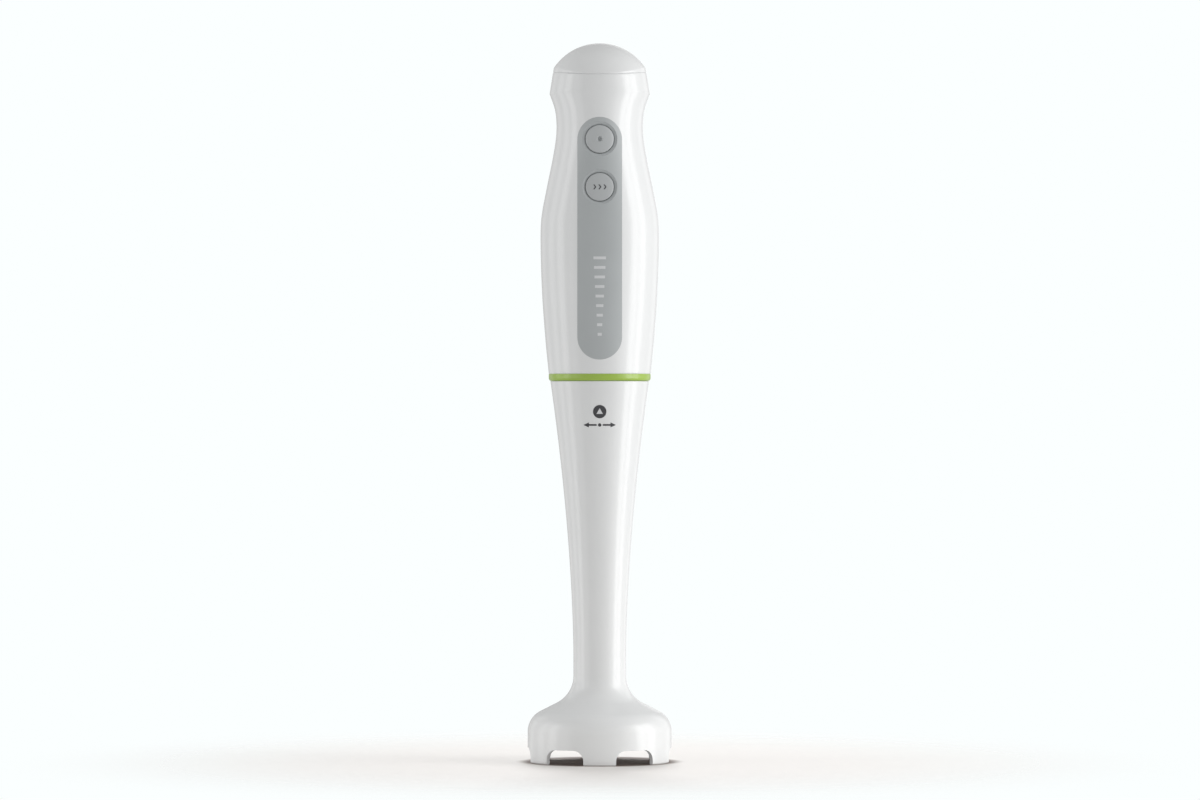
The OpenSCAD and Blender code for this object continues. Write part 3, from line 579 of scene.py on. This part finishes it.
def softbox(name, where, target, size, power, only=None):
    """A soft rectangular lamp that the camera doesn't see, on every object or on one only."""
    data = bpy.data.lights.new(name, "AREA")
    data.shape, data.size, data.size_y = "RECTANGLE", size[0], size[1]
    data.energy = power
    light = bpy.data.objects.new(name, data)
    light.visible_camera = False
    bpy.context.scene.collection.objects.link(light)
    light.location = where
    light.rotation_euler = (Vector(target) - Vector(where)).to_track_quat("-Z", "Y").to_euler()
    if only:
        group = bpy.data.collections.new(name + "_receivers")
        group.objects.link(only)
        light.light_linking.receiver_collection = group


def around(azimuth, height, distance=1.4):
    """A lamp's place, its azimuth counted from the camera's side towards +X."""
    a = math.radians(azimuth)
    return (distance * math.sin(a), -distance * math.cos(a), height)


def studio_world():
    """Even white light, behind a backdrop that only the camera sees."""
    world = bpy.data.worlds.new("studio")
    world.use_nodes = True
    nodes, links = world.node_tree.nodes, world.node_tree.links
    ambient = nodes["Background"]
    ambient.inputs["Color"].default_value = (1, 1, 1, 1)
    ambient.inputs["Strength"].default_value = 0.5
    backdrop = nodes.new("ShaderNodeBackground")
    backdrop.inputs["Color"].default_value = (0.965, 1, 1, 1)
    mix = nodes.new("ShaderNodeMixShader")
    links.new(nodes.new("ShaderNodeLightPath").outputs["Is Camera Ray"], mix.inputs["Fac"])
    links.new(ambient.outputs["Background"], mix.inputs[1])
    links.new(backdrop.outputs["Background"], mix.inputs[2])
    links.new(mix.outputs["Shader"], nodes["World Output"].inputs["Surface"])
    return world


for name, azimuth, power in LAMPS:
    softbox(name, around(azimuth, LAMP_Z), LAMP_AIM, LAMP_SIZE, power)
softbox("top", (0, -0.2, 1.7), (0, -0.2, 0), (1.2, 1.2), 1.0)
softbox("under", (0, -0.3, -1.0), (0, 0, 0), (0.7, 0.7), 1.0)
softbox("floor_wash", (0, 1.3, 0.8), (0, 0, 0), (0.7, 0.7), 9.2, only=floor)
bpy.context.scene.world = studio_world()


# ---- Handle shells ----

def eased_angles(start):
    """Angles round half the handle, close together where the halves meet."""
    edge = [0, 0.35, 0.7]
    middle = spread(0, 180, 90)[1:-1]
    return [start + a for a in edge + middle + [180 - a for a in reversed(edge)]]


def housing_heights(angle):
    """Heights up a shell at an angle, close together at both of its ends."""
    top = seam(angle)
    rows = [BODY_Z, BODY_Z + 0.25, BODY_Z + 0.6] + spread(BODY_Z + 1.4, SHOULDER_Z - 0.5, 112)
    return rows + [SHOULDER_Z] + spread(SHOULDER_Z + 0.5, top - 0.6, 9) + [top - 0.25, top]


def edge_ease(distance):
    """How far the skin turns in close to an edge, so that seams catch a line of shade."""
    return EDGE_TURN * max(0.0, 1 - distance / EDGE_REACH) ** 2


def half_housing(name, start):
    """Half of the handle's shell, from an angle to the opposite one."""
    outer, inner = [], []
    for a in eased_angles(start):
        rows = housing_heights(a)
        side = min(abs(a - start), abs(start + 180 - a)) * math.radians(BELLY_R)
        ease = [edge_ease(side) + edge_ease(z - rows[0]) + edge_ease(rows[-1] - z) for z in rows]
        outer.append([skin(z, a, e) for z, e in zip(rows, ease)])
        inner.append([skin(z, a, SHELL_T) for z in rows])
    return finish_mesh(name, *slab(outer, inner), sharp=50)


def sector(name, r_in, r_out, z0, z1, a0, a1):
    """A curved rib between two angles, with its axis on the handle's."""
    rings = []
    for a in map(math.radians, spread(a0, a1, max(4, round((a1 - a0) / 3)))):
        rings.append([Vector((r * math.cos(a), r * math.sin(a), z))
                      for r, z in ((r_in, z0), (r_out, z0), (r_out, z1), (r_in, z1))])
    return finish_mesh(name, *loft(rings))


def post(side, x, z, way, longest):
    """A screw post from the parting plane into the wall, on the front (way -1) or the back (way 1)."""
    ends = [[], []]
    for u, v in circle(POST_R, 48):
        px, pz = side * x + u, z + v
        ends[0].append(Vector((px, way * 0.05, pz)))
        ends[1].append(Vector((px, way * min(-front(px, pz, SHELL_T / 2).y, longest), pz)))
    return finish_mesh("post", *loft(ends))


def inner_features(start, rib_spans, posts):
    """A half's posts, its ribs round the motor and the hook that grips the spigot."""
    hook = sector("hook", 23, RING_R - SHELL_T + 0.6, BODY_Z + 4.3, BODY_Z + 5.8, start + 0.5, start + 179.5)
    ribs = [sector("rib", MOUNT_R, r_out, z, z + RIB_H, *span) for span in rib_spans for r_out, z in RIBS]
    return join("inner_features", [hook] + ribs + posts)


def screw_seat(x, z):
    """How far back a screw's head sits, so that it stays just under the skin."""
    return half_depth(z) * math.sqrt(1 - ((x + WELL_R) / half_width(z)) ** 2) - SCREW_HEAD_H - HEAD_SINK


def vent(z):
    """A level slot through the back."""
    outline = arc(7, 0, 0.9, -90, 90, 8) + arc(-7, 0, 0.9, 90, 270, 8)
    return prism_y("vent", [(u, z + v) for u, v in outline], 12, 40)


PLACES = [(side, x, z) for x, z in SCREWS for side in (-1, 1)]
VENTS = [316 + 4.4 * i for i in range(5)] + [216 + 4.4 * i for i in range(4)]

front_housing = half_housing("front_housing_skin", 180)
posts = [post(*at, -1, FRONT_POST_END) for at in PLACES]
cut(front_housing, inner_features(180, ((195, 236), (304, 345)), posts), "UNION")
pilots = [rod_y("pilot", PILOT_R, -10, 1, side * x, z) for side, x, z in PLACES]
opening = prism_y("opening", slot_outline(PANEL_R, *PANEL_Z), -40, -10)
cut(front_housing, join("front_cuts", pilots + [opening]))
place(front_housing, "handle", "white_plastic", ["front_housing"])

rear_housing = half_housing("rear_housing_skin", 0)
posts = [post(*at, 1, 30) for at in PLACES]
cut(rear_housing, inner_features(0, ((15, 165),), posts), "UNION")
wells = [rod_y("well", WELL_R, screw_seat(x, z), 40, side * x, z) for side, x, z in PLACES]
shanks = [rod_y("shank", SHANK_R, -1, screw_seat(x, z) + 1, side * x, z) for side, x, z in PLACES]
inlet = rod_y("inlet", SHELL_HOLE_R, 15, 40, 0, INLET_Z)
cut(rear_housing, join("rear_wells", wells + [vent(z) for z in VENTS] + [inlet]))
cut(rear_housing, join("rear_shanks", shanks))
place(rear_housing, "handle", "white_plastic", ["rear_housing"])


# ---- Cap ----

CAP_ANGLES = [2 * i for i in range(180)]


def cap_ring(share, radius, inset=0.0):
    """A ring on the dome, or on one inside it, a share of the way from the crease to the top."""
    ring = []
    for a in CAP_ANGLES:
        p = skin(crease(a), a, inset).xy * (1 - share)
        ring.append(Vector((p.x, p.y, DOME_Z + math.sqrt(radius**2 - p.length_squared))))
    return ring


def cap_band(share, inset):
    """A ring on the skin between the seam and the crease above it."""
    ring = []
    for a in CAP_ANGLES:
        start = seam(a) + 0.05
        ring.append(skin(start + (crease(a) - start) * share, a, inset))
    return ring


def lip_ring(inset, down):
    """A ring below the seam, for the lip that fits inside the shells."""
    return [skin(seam(a), a, inset) - Vector((0, 0, down)) for a in CAP_ANGLES]


shares = [0.004, 0.01, 0.02] + spread(0.04, 0.98, 30)
lip_inside, lip_outside = SHELL_T + CAP_LIP, SHELL_T + 0.1
cap_rings = [[Vector((0, 0, TOP_Z - SHELL_T))]]
cap_rings += [cap_ring(share, DOME_R - SHELL_T, lip_inside) for share in reversed(shares)]
cap_rings += [lip_ring(lip_inside, LIP_H), lip_ring(lip_outside, LIP_H), lip_ring(lip_outside, -0.05)]
cap_rings += [cap_band(share, edge_ease(share * 1.5)) for share in (0, 0.15, 0.35, 0.65, 0.9)]
cap_rings += [cap_ring(share, DOME_R) for share in shares]
cap_rings += [[Vector((0, 0, TOP_Z))]]
cap = finish_mesh("top_cap_dome", *loft(cap_rings, closed=False), sharp=60)
cut(cap, rod_y("cap_inlet", CAP_HOLE_R, 15, half_depth(INLET_Z) - SHELL_T - 0.2, 0, INLET_Z))
smooth(cap, 60)
place(cap, "handle", "white_plastic", ["top_cap"])


# ---- Panel and buttons ----

def radial(centre_z, rings):
    """Rings round a button: each is (radius, inset from the skin, or None, height along Y)."""
    out = []
    for radius, inset, y in rings:
        points = circle(radius, 96) if radius else [(0, 0)]
        if y is None:
            out.append([front(x, centre_z + z, inset) for x, z in points])
        else:
            out.append([Vector((x, y, centre_z + z)) for x, z in points])
    return out


def panel_skin(inset):
    """Points over the panel and a little past its edge."""
    zs = spread(PANEL_Z[0] - 0.5, PANEL_Z[1] + 0.5, 130)
    return [[front(x, z, inset) for z in zs] for x in spread(-PANEL_R * 1.02, PANEL_R * 1.02, 48)]


def button_well(centre_z):
    """The cutter for a button's hole, with a rounded bevel down to it."""
    bevel = [(WELL_RIM_R + 0.1, 0, -40), (WELL_RIM_R + 0.1, -0.4, None), (WELL_RIM_R, 0.14, None)]
    bevel += [(8.9, 0.34, None), (8.45, 0.66, None), (8.05, 0.98, None), (7.78, 1.2, None)]
    bevel += [(WELL_FLOOR_R, 1.34, None), (WELL_FLOOR_R, 0, -12)]
    return finish_mesh("button_well", *loft(radial(centre_z, bevel)))


def button(name, node, centre_z, dimple):
    """A button's cap, flange and stem. The face follows the skin, with a rounded rim and maybe a dimple."""
    stem_end = high(node).y
    flange = low(node).y + FLANGE_BACK
    shoulder = BUTTON_R - BUTTON_ROUND
    rings = [(0, BUTTON_INSET + dimple, None)]
    for r in spread(0, DIMPLE_R, 12)[1:]:
        depth = dimple * max(0, 1 - (r / DIMPLE_R) ** 2) ** 1.5
        rings.append((r, BUTTON_INSET + depth, None))
    rings += [(r, BUTTON_INSET, None) for r in (2.4, 3.4, 4.4, 5.4, 6.1, shoulder)]
    for t in map(math.radians, spread(0, 90, 6)[1:]):
        inset = BUTTON_INSET + BUTTON_ROUND * (1 - math.cos(t))
        rings.append((shoulder + BUTTON_ROUND * math.sin(t), inset, None))
    rings += [(BUTTON_R, 0, flange), (FLANGE_R, 0, flange), (FLANGE_R, 0, flange + FLANGE_T)]
    rings += [(STEM_R, 0, flange + FLANGE_T), (STEM_R, 0, stem_end), (0, 0, stem_end)]
    cap = finish_mesh(name, *loft(radial(centre_z, rings), closed=False))
    place(cap, node, "button_grey", [node])


def button_spring(name, node):
    """A return spring behind a button, coiled to fill the box of the CAD spring."""
    lo, hi = low(node), high(node)
    coil_r, centre_z = (hi.x - lo.x) / 2 - SPRING_WIRE_R, (lo.z + hi.z) / 2
    steps = SPRING_TURNS * 36
    ways = spread(0, 2 * math.pi * SPRING_TURNS, steps)
    rings = []
    for a, y in zip(ways, spread(lo.y + SPRING_WIRE_R, hi.y - SPRING_WIRE_R, steps)):
        outward = Vector((math.cos(a), 0, math.sin(a)))
        middle = outward * coil_r + Vector((0, y, centre_z))
        rings.append([middle + outward * u + Vector((0, v, 0)) for u, v in circle(SPRING_WIRE_R, 12)])
    spring = place(finish_mesh(name, *loft(rings)), "handle", "spring_steel", [node])
    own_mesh(spring)


panel = finish_mesh("control_panel_inlay", *slab(panel_skin(0.0), panel_skin(SHELL_T)))
edge = slot_outline(PANEL_R - PANEL_GAP, PANEL_Z[0] + PANEL_GAP, PANEL_Z[1] - PANEL_GAP, 48)
cut(panel, prism_y("panel_edge", edge, -40, -10), "INTERSECT")
cut(panel, button_well(SPEED_Z))
cut(panel, button_well(TURBO_Z))
place(panel, "handle", "panel_grey", ["control_panel"])
button("speed_button_cap", "speed_button", SPEED_Z, DIMPLE_DEPTH)
button("turbo_button_cap", "turbo_button", TURBO_Z, 0.0)
button_spring("speed_spring_coil", "speed_spring")
button_spring("turbo_spring_coil", "turbo_spring")


# ---- Ring and wand ----

def lathe_round(points, corner):
    """A closed profile with its sharp corners eased: each corner becomes a short curve."""
    out = []
    for i, p in enumerate(points):
        before, after = Vector(points[i - 1]), Vector(points[(i + 1) % len(points)])
        p = Vector(p)
        r = min(corner, (before - p).length * 0.45, (after - p).length * 0.45)
        a, b = p + (before - p).normalized() * r, p + (after - p).normalized() * r
        for t in spread(0, 1, 4):
            out.append(tuple(a * (1 - t) ** 2 + p * (2 * t * (1 - t)) + b * t**2))
    return out


def wand_r(z):
    """The tube's radius: level up to TAPER_Z, then wider and wider up to the rim."""
    if z <= TAPER_Z:
        return WAIST_R
    return WAIST_R + (WAND_TOP_R - WAIST_R) * ((z - TAPER_Z) / (RIM_Z - TAPER_Z)) ** TAPER_POWER


def wand_profile():
    """The wand's section (radius, height), down the outside and up the inside."""
    turn = math.radians(FLARE_TURN)
    end_r = WAIST_R + FLARE_R * (1 - math.cos(turn))
    end_z = FLARE_Z - FLARE_R * math.sin(turn)
    arc_r = GUARD_R - SHOULDER_ARC * (1 - math.cos(turn))
    arc_z = end_z - (arc_r - end_r) / math.tan(turn) - SHOULDER_ARC * math.sin(turn)
    centre = GUARD_R - SHOULDER_ARC
    inside_r = GUARD_R - GUARD_T
    out = [(WAND_TOP_R - 0.9, RIM_Z), (WAND_TOP_R - 0.3, RIM_Z - 0.08), (WAND_TOP_R - 0.06, RIM_Z - 0.3)]
    out += [(wand_r(z), z) for z in spread(RIM_Z - 0.7, TAPER_Z, 90)]
    # the flare, the slope, the shoulder and the guard's wall with its rounded foot
    out += arc(WAIST_R + FLARE_R, FLARE_Z, FLARE_R, 180, 180 + FLARE_TURN, 24)
    out += [(end_r + (arc_r - end_r) * s, end_z + (arc_z + SHOULDER_ARC * math.sin(turn) - end_z) * s)
            for s in (0.33, 0.67)]
    out += arc(centre, arc_z, SHOULDER_ARC, FLARE_TURN, 0, 24)
    out += [(GUARD_R, z) for z in (12, 9.5, 5, 1.2)]
    out += arc(GUARD_R - 0.8, 0.8, 0.8, 0, -90, 6)
    out += arc(inside_r + 0.6, 0.6, 0.6, -90, -180, 5)
    out += [(inside_r, 4), (inside_r, 9.5)]
    out += arc(centre, arc_z, SHOULDER_ARC - GUARD_T, 0, FLARE_TURN, 18)
    # the roof over the blade, with the boss for the shaft's seal and lower bush
    out += [(16, 28.5), (13.2, 27.2), (12.3, 26.2), (12, 25), (12, 20.6), (11.8, 20), (11.2, 19.6)]
    out += [(7.8, 19.6), (7.5, 20), (7.5, 24), (6, 24), (6, 35), (9.5, 37)]
    # the tube's bore, then the socket for the spigot and for the lock collar
    out += [(wand_r(z) - TUBE_T, z) for z in spread(40, 174, 40)]
    return out + [(21.3, 176), (21.3, RIM_Z - 5.4), (23.2, RIM_Z - 5.4), (23.2, RIM_Z)]


def spokes(name, rings, shift):
    """Solids at equal angles round the guard, as one: the rings hold points (outward, across, z)."""
    copies = []
    for i in range(NOTCHES):
        a = math.radians(360 * (i + shift) / NOTCHES - 90)
        outward, across = Vector((math.cos(a), math.sin(a), 0)), Vector((-math.sin(a), math.cos(a), 0))
        turned_rings = [[outward * r + across * u + Vector((0, 0, z)) for r, u, z in ring] for ring in rings]
        copies.append(finish_mesh(name, *loft(turned_rings)))
    return join(name, copies)


def guard_ribs():
    """Low ribs inside the guard, between the notches."""
    root, face, half = GUARD_R - GUARD_T + 0.5, GUARD_R - GUARD_T - 1.5, 0.9
    return spokes("guard_ribs", [[(face, -half, z), (root, -half, z), (root, half, z), (face, half, z)]
                                 for z in (1, 17)], 0)


def notches():
    """The cutters for the arches in the guard's edge."""
    arch = [(-NOTCH_W, -3)]
    arch += arc(-NOTCH_W + NOTCH_CORNER, NOTCH_H - NOTCH_CORNER, NOTCH_CORNER, 180, 90, 14)
    arch += arc(NOTCH_W - NOTCH_CORNER, NOTCH_H - NOTCH_CORNER, NOTCH_CORNER, 90, 0, 14)
    arch += [(NOTCH_W, -3)]
    return spokes("notches", [[(r, u, z) for u, z in arch] for r in (28, 48)], 0.5)


band_low, band_high = RIM_Z + 0.06, BODY_Z - 0.02
band = [(24, band_low), (RING_R - 0.75, band_low), (RING_R - 0.25, band_low + 0.5), (RING_R, band_low + 1.3),
        (RING_R, band_high), (24, band_high)]
place(turned("trim_ring_band", lathe_round(band, 0.25)), "handle", "ring_green", ["trim_ring"])

wand = turned("wand_body", wand_profile(), steps=252, sharp=40)
cut(wand, guard_ribs(), "UNION")
cut(wand, notches())
place(wand, "wand", "wand_plastic", ["wand_shell"])


# ---- Blade ----

def eased_copy(name, node, body, slot, width):
    """A copy of a CAD node's shape with its sharp edges worn to a small round."""
    obj = bpy.data.objects.new(name, frame["nodes"][node].data.copy())
    bpy.context.scene.collection.objects.link(obj)
    bm = bmesh.new()
    bm.from_mesh(obj.data)
    bmesh.ops.remove_doubles(bm, verts=bm.verts, dist=0.004 * MM)
    bmesh.ops.dissolve_limit(bm, angle_limit=math.radians(1), verts=bm.verts, edges=bm.edges)
    bm.to_mesh(obj.data)
    bm.free()
    mod = obj.modifiers.new("worn_edges", "BEVEL")
    mod.width, mod.segments, mod.limit_method, mod.angle_limit = width * MM, 2, "ANGLE", math.radians(30)
    mod.use_clamp_overlap = True
    smooth(obj, 50)
    place(obj, body, slot, [node])


eased_copy("blade_honed", "blade", "drive", "blade_steel", 0.16)
eased_copy("blade_nut_turned", "blade_nut", "drive", "blade_steel", 0.25)


# ---- Cord gland ----

def gland_profile():
    """The bushing's section (radius, y): a flange in the shell, a neck through it and a collar outside."""
    back = high("cord_gland").y
    inner_end, mouth = back - INLET_BORE_L, INLET_BORE_R + 0.9
    return [(INLET_BORE_R, inner_end), (7.2, inner_end), (7.2, back - 6), (6.1, back - 6), (6.1, back - 1.8),
            (7.6, back - 1.8), (7.6, back - 1.1), (7.1, back - 0.75), (5.9, back - 0.75), (5.6, back),
            (mouth, back), (INLET_BORE_R, back - 1.2)]


bushing = lathe_round(gland_profile(), 0.3)
gland = turned("cord_gland_bush", bushing, steps=96, axis="Y", centre=(0, 0, INLET_Z))
place(gland, "handle", "gland_rubber", ["cord_gland"])


# ---- Printed marks: plain bars, chevrons, and a disc and arrows for the wand's lock ----

def on_panel(x, z, lift):
    return front(x, z, -lift)


def on_turbo(x, z, lift):
    return front(x, z, BUTTON_INSET - lift)


def on_wand(x, z, lift):
    r = wand_r(z) + lift
    return Vector((x, -math.sqrt(r**2 - x**2), z))


def on_disc(x, z, lift):
    return on_wand(x, z, lift + 0.03)


def mark(name, surface, outline_rows, body, slot, look):
    """A thin raised patch: rows of points (x, z) laid on a surface."""
    top = [[surface(x, z, PRINT) for x, z in row] for row in outline_rows]
    base = [[surface(x, z, -PRINT_ROOT) for x, z in row] for row in outline_rows]
    place(finish_mesh(name, *slab(top, base)), body, slot, look=look)


def wand_mark(name, rows, look=MARK_DARK, surface=on_wand):
    mark(name, surface, rows, "wand", "wand_plastic", look)


def bar_rows(half, z, height):
    """Rows across a level bar."""
    return [[(x, row_z) for x in spread(-half, half, 8)] for row_z in spread(z, z + height, 2)]


def chevron_rows(x, z, reach=0.9, half=1.25, stroke=0.7):
    """Rows down a chevron that points to +X."""
    return [[(x + reach * s + w, z + half * v) for w in spread(0, stroke, 2)]
            for s, v in ((0, 1), (0.5, 0.5), (1, 0), (0.5, -0.5), (0, -1))]


def disc_rows(radius, z, steps=24, columns=8):
    """Rows across a disc, from its lowest point to its highest."""
    return [[(radius * math.cos(a) * u, z + radius * math.sin(a)) for u in spread(-1, 1, columns)]
            for a in map(math.radians, spread(-90, 90, steps))]


def triangle_rows(half, z, height):
    """Rows up a triangle that points up, just short of its tip."""
    return [[(s * (1 - t) * half, z + height * t) for s in spread(-1, 1, 4)] for t in (0, 0.33, 0.66, 0.98)]


def wedge_rows(x0, x1, half0, half1, z):
    """Rows across a bar or arrow head that runs from x0 to x1 and changes its half height on the way."""
    return [[(x0 + (x1 - x0) * t, z + v * (half0 + (half1 - half0) * t)) for t in spread(0, 1, 6)]
            for v in spread(-1, 1, 4)]


for i in range(LEVEL_BARS):
    half = 1.1 + 2.2 * i / (LEVEL_BARS - 1)
    mark(f"level_bar_{i}", on_panel, bar_rows(half, 225 + 5 * i, 1.5), "handle", "panel_grey", MARK_LIGHT)
for i in range(CHEVRONS):
    rows = chevron_rows(-3.4 + 2.7 * i, TURBO_Z)
    mark(f"turbo_chevron_{i}", on_turbo, rows, "turbo_button", "button_grey", MARK_DARK)

wand_mark("lock_disc", disc_rows(3.5, LOCK_Z))
wand_mark("lock_pointer", triangle_rows(1.7, LOCK_Z - 1.2, 3.0), MARK_LIGHT, on_disc)
for side, way in ((-1, "left"), (1, "right")):
    wand_mark(f"turn_line_{way}", wedge_rows(side * 1.6, side * 5.8, 0.45, 0.45, ARROW_Z))
    wand_mark(f"turn_arrow_{way}", wedge_rows(side * 5.7, side * 8.4, 1.3, 0.06, ARROW_Z))
wand_mark("turn_middle", disc_rows(0.9, ARROW_Z, 12, 4))


# ---- CAD nodes that stay: their materials ----

for node, obj in frame["nodes"].items():
    obj.data.materials.clear()
    obj.data.materials.append(MATERIALS[SLOT_OF[node]])
